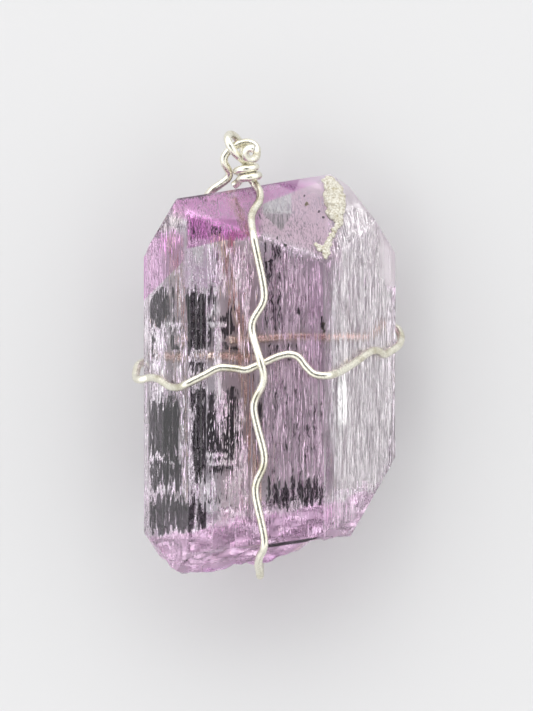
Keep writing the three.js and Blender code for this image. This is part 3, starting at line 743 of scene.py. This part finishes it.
def needles():
    """Pale flattened growth tubes along the crystal, in bundles between the dark windows."""
    chances = np.random.default_rng(7)
    made = []
    bundles = BUNDLES + CLUSTERS + HAZE
    for number, (x, y, half_width, half_height, reach, count) in enumerate(bundles):
        tries = 3 * count
        hazy = number >= len(BUNDLES) + len(CLUSTERS)
        cover, longer, wider, spread = HAZE_NEEDLES if hazy else NEEDLES
        place = scattered(chances, hazy, x, y, half_width, half_height, tries)
        height, facing = front(place[:, 0], place[:, 1])
        place[:, 2] = height - chances.uniform(cover, reach, tries)
        widths, lengths = needle_scales(place)
        length = (SHORTEST + longer * chances.uniform(0, 1, tries) ** 2) * lengths
        width = (THINNEST + wider * chances.uniform(0, 1, tries) ** 2) * widths
        if number == len(BUNDLES):
            width, length = STREAK_SCALE[0] * width, STREAK_SCALE[1] * length
        depth = chances.uniform(*NEEDLE_DEPTHS, tries)
        depth = width * np.where(facing[:, 2] < FLAT_FACING, SLOPE_DEPTH, depth)
        half = np.stack([width, length, depth], 1)
        axis = needle_axes(facing, chances.normal(0, spread, (tries, 3)) * (1, 0.4, 0))
        ends = [depth_inside(place + way * half[:, 1:2] * axis[:, 1]) for way in (-1, 1)]
        kept = np.minimum(*ends) > cover - 0.01
        if number < len(BUNDLES):
            across, along, _ = place.T
            kept &= calm_share(across, along) < chances.uniform(*WINDOW_CHANCES, tries)
            on_slope = (across < LEFT_SLOPE_X) | (across > RIGHT_SLOPE_X)
            kept &= on_slope | (along + RIDGE_SLOPE * across < RIDGE_Y)
            kept &= along - length - BAND_SLOPE * across > BAND_Y
        kept &= over_back_wires(place, height, facing) < chances.uniform(*WIRE_CHANCES, tries)
        made.append([part[kept][:count] for part in (place, half, axis)])
    return spindles("pale_needles", *map(np.vstack, zip(*made)))


# ---- wires

def between(t, start, end, first, second):
    """First where t is start, second where it is end, and straight from one to the other."""
    return (end - t) / (end - start) * first + (t - start) / (end - start) * second


def smooth_line(points, step):
    """Points a step apart along a centripetal Catmull-Rom line through the given ones."""
    points = np.asarray(points, float)
    padded = np.vstack([2 * points[0] - points[1], points, 2 * points[-1] - points[-2]])
    samples = []
    for p0, p1, p2, p3 in zip(padded, padded[1:], padded[2:], padded[3:]):
        t1 = math.sqrt(np.linalg.norm(p1 - p0))
        t2 = t1 + math.sqrt(np.linalg.norm(p2 - p1))
        t3 = t2 + math.sqrt(np.linalg.norm(p3 - p2))
        t = np.linspace(t1, t2, 21)[:-1, None]
        a1 = between(t, 0, t1, p0, p1)
        a2 = between(t, t1, t2, p1, p2)
        a3 = between(t, t2, t3, p2, p3)
        b1 = between(t, 0, t2, a1, a2)
        b2 = between(t, t1, t3, a2, a3)
        samples.append(between(t, t1, t2, b1, b2))
    samples = np.vstack([*samples, points[-1:]])
    travelled = np.concatenate([[0], np.cumsum(np.linalg.norm(np.diff(samples, axis=0), axis=1))])
    even = np.linspace(0, travelled[-1], math.ceil(travelled[-1] / step) + 1)
    return np.stack([np.interp(even, travelled, samples[:, axis]) for axis in range(3)], 1)


def height_on_front(x, y):
    """The height of a wire's middle where it lies on the front of the crystal."""
    reach = WIRE_RADIUS + WIRE_CLEARANCE
    return min((reach - c - n[0] * x - n[1] * y) / n[2] for n, c in FRONT_PLANES)


def crossing_lift(y):
    """How much higher the long wire goes to pass over the waist wire."""
    t = min(1, abs(y - CROSSING_Y) / CROSSING_REACH)
    return CROSSING_LIFT * (1 + math.cos(math.pi * t)) / 2


def eased_kinks(kinks):
    """Two points for each kink, a little way before and after it."""
    kinks = np.array([(x, y, 0) for x, y in kinks])
    eased = [kinks[0]]
    for before, corner, after in zip(kinks, kinks[1:], kinks[2:]):
        for other in (before, after):
            share = min(KINK_SHARE, KINK_REACH / np.linalg.norm(other - corner))
            eased.append(corner + (other - corner) * share)
    return [*eased, kinks[-1]]


def laid_on_front(line, lift):
    """Points of a wire that lies along a flat line over the front of the crystal."""
    places = smooth_line(line, ROUTE_STEP)
    heights = [height_on_front(x, y) + lift(y) for x, y, _ in places]
    laid = []
    for i, (x, y, _) in enumerate(places):
        reach = min(EDGE_EASE, i, len(places) - 1 - i)
        near = heights[i - reach : i + reach + 1]
        laid.append((x, y, sum(near) / len(near)))
    return laid


def neck_turns():
    points = []
    for angle in WRAP_ANGLES:
        turns = (angle - 90) / 360
        radians = math.radians(angle)
        points.append((
            WRAP_TOP[0] + WRAP_PER_TURN[0] * turns + WRAP_HALF_WIDTH * math.cos(radians),
            WRAP_TOP[1] + WRAP_PER_TURN[1] * turns,
            WRAP_TOP[2] + WRAP_HALF_DEPTH * math.sin(radians),
        ))
    return points


def wire(name, route):
    """A round wire along a route, with bevelled ends and the slight unevenness of hand bending."""
    points = smooth_line(route, ROUTE_STEP)
    tangents = np.gradient(points, axis=0)
    tangents /= np.linalg.norm(tangents, axis=1)[:, None]
    side = np.cross(tangents[0], [0.3, 0.5, 0.8])  # any direction across the wire's start
    rings = []
    angles = 2 * np.pi * np.arange(WIRE_SIDES) / WIRE_SIDES
    for i, (point, tangent) in enumerate(zip(points, tangents)):
        side = side - tangent * (side @ tangent)
        side /= np.linalg.norm(side)
        other = np.cross(tangent, side)
        along = np.full(WIRE_SIDES, i * ROUTE_STEP / DENT_LENGTH)
        radius = WIRE_RADIUS * (1 + WIRE_DENTS * (plane_noise(angles * 0.8 + 20, along, 71) - 0.5))
        rings.append(point + radius[:, None] * (
            np.cos(angles)[:, None] * side + np.sin(angles)[:, None] * other
        ))

    def bevel(end, out):
        return [points[end] + (rings[end] - points[end]) * share + out * reach * WIRE_RADIUS
                for share, reach in WIRE_BEVEL]

    rings = [*bevel(0, -tangents[0])[::-1], *rings, *bevel(-1, tangents[-1])]
    piece = mesh_piece(name, np.vstack(rings), tube_faces(len(rings), WIRE_SIDES))
    piece.data.shade_smooth()
    return piece


def long_wire():
    return wire("long_silver_wire", [
        *RING_AND_BACK,
        *laid_on_front(eased_kinks(FRONT_KINKS), crossing_lift),
        *NECK_AND_RING,
        *neck_turns(),
        *TAIL,
    ])


def waist_wire():
    line = [(x, y, 0) for x, y in WAIST_FRONT]
    return wire("waist_silver_wire", [*WAIST_LEFT, *laid_on_front(line, lambda y: 0), *WAIST_RIGHT])


# ---- materials

class Graph:
    """Short ways to add nodes to a material or a world."""

    def __init__(self, tree):
        self.tree = tree

    def node(self, kind, inputs=(), **settings):
        made = self.tree.nodes.new(kind)
        for name, value in settings.items():
            setattr(made, name, value)
        self.feed(made.inputs, inputs)
        return made

    def feed(self, sockets, inputs):
        """Links or sets sockets, by name or number."""
        for key, value in dict(inputs).items():
            if isinstance(value, bpy.types.NodeSocket):
                self.tree.links.new(value, sockets[key])
            else:
                sockets[key].default_value = value

    def math(self, operation, *values):
        return self.node("ShaderNodeMath", enumerate(values), operation=operation).outputs[0]

    def times(self, *values):
        return reduce(lambda first, second: self.math("MULTIPLY", first, second), values)

    def most(self, first, second):
        return self.math("MAXIMUM", first, second)

    def vector(self, operation, *values):
        return self.node("ShaderNodeVectorMath", enumerate(values), operation=operation)

    def slope(self, place, per_x, per_y, per_z=0):
        """per_x x + per_y y + per_z z of a place."""
        return self.vector("DOT_PRODUCT", place, (per_x, per_y, per_z)).outputs["Value"]

    def step(self, value, low, high, to_low=0, to_high=1):
        """to_low where value is below low, to_high where it is above high, and smooth between."""
        inputs = enumerate((value, low, high, to_low, to_high))
        return self.node("ShaderNodeMapRange", inputs, interpolation_type="SMOOTHSTEP").outputs[0]

    def zone(self, place, name):
        """1 inside a zone of ZONES, and 0 outside."""
        return self.times(*(
            self.step(self.slope(place, per_x, per_y), start, end)
            for per_x, per_y, start, end in ZONES[name]
        ))

    def attribute(self, name):
        return self.node("ShaderNodeAttribute", attribute_name=name).outputs["Fac"]

    def noise(self, place, cells, detail=1, roughness=0.5):
        """Noise from 0 to 1 whose grains are cells millimetres long, or that along x, y and z."""
        scale = tuple(1 / np.broadcast_to(cells, 3))
        inputs = {"Vector": self.vector("MULTIPLY", place, scale).outputs[0], "Scale": 1,
                  "Detail": detail, "Roughness": roughness}
        return self.node("ShaderNodeTexNoise", inputs).outputs["Fac"]

    def bump(self, height, distance):
        inputs = {"Height": height, "Strength": 0.5, "Distance": distance}
        return self.node("ShaderNodeBump", inputs).outputs[0]

    def blend(self, share, first, second):
        """First where share is 0, and second where it is 1."""
        inputs = {0: share, 6: first, 7: second}
        return self.node("ShaderNodeMix", inputs, data_type="RGBA").outputs[2]


def new_material(name):
    """(material, graph, its Principled shader's inputs, its place in millimetres)."""
    material = bpy.data.materials.new(name)
    material.use_nodes = True
    graph = Graph(material.node_tree)
    source = graph.node("ShaderNodeTexCoord").outputs["Object"]
    place = graph.vector("MULTIPLY", source, (1 / MM,) * 3).outputs[0]
    place = graph.vector("ADD", place, tuple(FOOTPRINT)).outputs[0]
    return material, graph, material.node_tree.nodes["Principled BSDF"].inputs, place


def glass_zones(graph, place):
    """The crystal's colour: lilac ends round a clear middle, with streaks of painted shade."""
    def glass(name):
        return (*GLASS[name], 1)

    def zone(name):
        return graph.zone(place, name)

    up = graph.slope(place, 0, 0, 1)
    near = graph.step(up, *NEAR_FRONT)
    waver = graph.step(graph.noise(place, WAVER_CELL, 2), 0.2, 0.8, *WAVER)
    top, chamfer_end, base = (
        graph.math("ADD", graph.slope(place, slope, 1), waver) for slope in (RIDGE_SLOPE, 0, -BAND_SLOPE)
    )
    under_top = graph.step(top, *CLEAR_UNDER, 1, 0)
    right, left = zone("right slope"), zone("left roof")
    colour = graph.blend(right, glass("clear"), glass("clear right"))
    for name in ("middle", "column", "lilac band"):
        colour = graph.blend(graph.times(zone(name), under_top), colour, glass(name))
    ridge = graph.math("MULTIPLY_ADD", left, RIDGE_STEP, RIDGE_RIGHT)
    upper = graph.step(graph.math("SUBTRACT", top, ridge), *WAVER)
    strip = graph.most(left, zone("roof strip"))
    roof = graph.blend(strip, glass("roof"), glass("roof strip"))
    roof = graph.blend(right, roof, glass("roof right"))
    colour = graph.blend(graph.times(upper, near), colour, roof)
    lines = graph.step(graph.noise(place, (0.12, 2.5, 2.5), 2), 0.35, 0.65)
    for name in ("pane", "wedge", "peak", "purple"):
        paint = glass(name)
        if name + " lines" in GLASS:
            paint = graph.blend(lines, paint, glass(name + " lines"))
        colour = graph.blend(graph.times(zone(name), near), colour, paint)
    pink = graph.times(zone("chamfer"), graph.step(chamfer_end, *CHAMFER_FADE, 1, 0.08))
    colour = graph.blend(pink, colour, glass("chamfer"))
    band = graph.blend(right, glass("base"), glass("base right"))
    band = graph.blend(zone("base middle"), band, glass("base middle"))
    band = graph.blend(graph.step(base, *LIP_TOP, 1, 0), band, glass("lip"))
    colour = graph.blend(graph.step(base, *BAND_TOP, 1, 0), colour, band)
    # Painted shadow: a dark line across the front just above the broken base.
    ledge_shadow = graph.math("ADD", graph.slope(place, LEDGE_SLOPE, 1), LEDGE_Y)
    ledge_shadow = graph.step(graph.math("ABSOLUTE", ledge_shadow), *LEDGE_RIM, 1, 0)
    ledge_shadow = graph.times(ledge_shadow, zone("ledge_shadow"), graph.step(up, *LEDGE_HEIGHT))
    colour = graph.blend(ledge_shadow, colour, glass("ledge_shadow"))
    colour = specks(graph, place, near, colour)
    # Painted light: the wires behind the crystal, as seen through it, painted salmon onto the glass in
    # front.
    colour = graph.blend(graph.times(graph.attribute("warm"), 0.6), colour, glass("painted wires behind"))
    # Painted shade: darkness seen through the clear glass, painted onto it in streaks and windows.
    return graph.blend(painted_shade_streaks(graph, place), colour, glass("streaks")), top


def specks(graph, place, near, colour):
    """The colour with the specks of SPECKS in it, near the front."""
    for x, y, half_width, half_height, dark in SPECKS:
        offset = graph.vector("SUBTRACT", place, (x, y, 0)).outputs[0]
        offset = graph.vector("MULTIPLY", offset, (1 / half_width, 1 / half_height, 0)).outputs[0]
        distance = graph.vector("LENGTH", offset).outputs["Value"]
        wobble = graph.step(graph.noise(place, (0.2, 0.3, 0.2), 2), 0.2, 0.8, -0.7, 0.7)
        inside = graph.step(graph.math("ADD", distance, wobble), 0.7, 1.1, 1, 0)
        colour = graph.blend(graph.times(inside, near), colour, (*dark, 1))
    return colour


def painted_shade_streaks(graph, place):
    """1 in the thin dark streaks of painted shade, which cover more of the glass where shade is high."""
    shade = graph.attribute("shade")
    bend = graph.node("ShaderNodeTexNoise", {"Vector": place, "Scale": 1.3, "Detail": 2})
    bend = graph.math("SUBTRACT", graph.slope(bend.outputs["Color"], 1, 0), 0.5)
    bend = graph.times(bend, graph.zone(place, "bent streaks"), 0.6)
    bent = graph.node("ShaderNodeCombineXYZ", {"X": bend}).outputs[0]
    bent = graph.vector("ADD", place, bent).outputs[0]
    lines = graph.math("ADD", graph.times(graph.noise(bent, FINE_STREAKS, 3), 0.6),
                       graph.times(graph.noise(bent, COARSE_STREAKS, 2), 0.4))
    uncovered = graph.math("SUBTRACT", lines, graph.step(shade, 0, 1, *STREAK_RISE))
    return graph.times(graph.step(uncovered, *STREAK_RIM, 1, 0), graph.step(shade, 0.02, 0.2))


def glass_material():
    """See-through kunzite, satin on its sloping ends and in its broken base."""
    material, graph, shader, place = new_material("kunzite")
    colour, top = glass_zones(graph, place)
    up = graph.slope(place, 0, 0, 1)
    satin = graph.times(graph.step(top, 10, 10.8), graph.step(up, 5, 7, 0.9, 0.14))
    etched = graph.step(graph.noise(place, 1, 1), 0.35, 0.6, 0.13, 0.4)
    rough = graph.most(satin, graph.times(graph.attribute("broken"), etched))
    graph.feed(shader, {"Base Color": colour, "Roughness": rough, "IOR": IOR, "Transmission Weight": 1})
    absorption = graph.node(
        "ShaderNodeVolumeAbsorption", {"Color": (*GLASS["depth"], 1), "Density": ABSORPTION}
    )
    output = material.node_tree.nodes["Material Output"].inputs
    graph.feed(output, {"Volume": absorption.outputs[0]})
    return material


def needle_material():
    """Bright growth tubes, whiter on the right slope and satin in the haze."""
    material, graph, shader, place = new_material("pale_growth_tubes")

    def tinted(colour, share, name):
        return graph.blend(share, colour, (*GROWTH_TUBES[name], 1))

    mottle = graph.noise(place, (0.8, 3, 0.8), 2)
    colour = tinted((*GROWTH_TUBES["lilac"], 1), graph.step(mottle, 0.4, 0.6), "pale")
    for name in ("inner tubes", "right tubes", "shoulder", "white streak"):
        colour = tinted(colour, graph.zone(place, name), name)
    strip = graph.most(graph.zone(place, "left roof"), graph.zone(place, "roof strip"))
    roof = tinted((*GROWTH_TUBES["roof"], 1), strip, "roof strip")
    for name in ("pane", "wedge", "peak"):
        roof = tinted(roof, graph.zone(place, name), name)
    in_roof = graph.zone(place, "roof")
    colour = graph.blend(in_roof, colour, roof)
    satin = graph.times(graph.most(in_roof, graph.zone(place, "pale window")), 0.62)
    rough = graph.most(graph.step(mottle, 0.3, 0.7, 0.12, 0.35), satin)
    graph.feed(shader, {"Base Color": colour, "Roughness": rough, "Metallic": 1})
    return material


def silver_material():
    """Bright silver with drawn lines along it, handling marks and a little warm tarnish."""
    material, graph, shader, place = new_material("silver_wire")
    tarnish = graph.step(graph.noise(place, 1.3, 3, 0.6), 0.45, 0.75)
    colour = graph.blend(tarnish, SILVER, TARNISH)
    marks = graph.noise(place, 0.1, 3, 0.6)
    rough = graph.step(marks, 0.3, 0.8, 0.18, 0.38)
    bump = graph.bump(marks, 0.00003)
    graph.feed(shader, {"Base Color": colour, "Roughness": rough, "Metallic": 1, "Normal": bump})
    return material


def crust_material():
    """Pale rock: cream with white grains, painted shade in its hollows and thin rusty stains there."""
    material, graph, shader, place = new_material("crust_stone")
    grain = graph.noise(place, 0.16, 3, 0.65)
    stain = graph.step(graph.noise(place, 0.5, 3, 0.6), 0.52, 0.7)
    # Darker where the bump is low: the rock's tone with painted shade in the hollows.
    colour = graph.blend(graph.step(grain, 0.36, 0.6), CRUST_HOLLOW_SHADE, CRUST_GRAINS)
    colour = graph.blend(graph.times(stain, 0.5), colour, RUST)
    rough = graph.step(grain, 0.3, 0.7, 0.9, 0.6)
    graph.feed(shader, {"Base Color": colour, "Roughness": rough, "Normal": graph.bump(grain, 0.00004)})
    return material


# ---- studio

def floor():
    corners = np.array([(-1, -1, 0), (1, -1, 0), (1, 1, 0), (-1, 1, 0)]) * FLOOR_REACH + FOOTPRINT
    piece = mesh_piece("floor", corners, [(0, 1, 2, 3)])
    material, graph, shader, _ = new_material("pale_floor")
    graph.feed(shader, {"Base Color": FLOOR, "Roughness": 0.9, "Specular IOR Level": 0.1})
    piece.data.materials.append(material)


def studio_light():
    """A soft ring of light round a darker ceiling, brighter from behind the rings."""
    world = bpy.data.worlds.new("studio")
    SCENE.world = world
    world.use_nodes = True
    graph = Graph(world.node_tree)
    direction = graph.node("ShaderNodeTexCoord").outputs["Generated"]
    height = graph.slope(direction, 0, 0, 1)
    side = graph.math("ADD", graph.slope(direction, *BRIGHT_SIDE), 1)
    ring = graph.times(graph.step(height, *RING_FOOT, 0.4, 1), graph.step(height, *RING_TOP, 1, 0.08))
    strength = graph.times(side, ring, LIGHT)
    background = world.node_tree.nodes["Background"].inputs
    graph.feed(background, {"Color": (1, 1, 1, 1), "Strength": strength})


def camera():
    """A long lens straight above the middle of the photograph."""
    data = bpy.data.cameras.new("camera")
    camera_object = added("camera", data)
    distance, middle, sensor = 450, (-0.28, 1.4, 7), 36
    camera_object.location = placed([np.add(middle, (0, 0, distance))])[0]
    data.sensor_width = sensor
    data.lens = sensor * distance / PHOTO_HEIGHT
    data.clip_start = 0.01
    SCENE.camera = camera_object


def dress(piece, node, material):
    piece.data.materials.clear()
    piece.data.materials.append(material)
    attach(piece, "root")
    if node:
        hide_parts(node)


camera()
floor()
studio_light()
SCENE.view_settings.view_transform = "Standard"
SCENE.cycles.max_bounces = 24
SCENE.cycles.transmission_bounces = 24
dress(crystal(), "crystal", glass_material())
dress(needles(), None, needle_material())
dress(crust_solid("crust_rough", 0, CRUST_RELIEF), "matrix_crust", crust_material())
silver = silver_material()
dress(long_wire(), "long_wire", silver)
dress(waist_wire(), "waist_wire", silver)
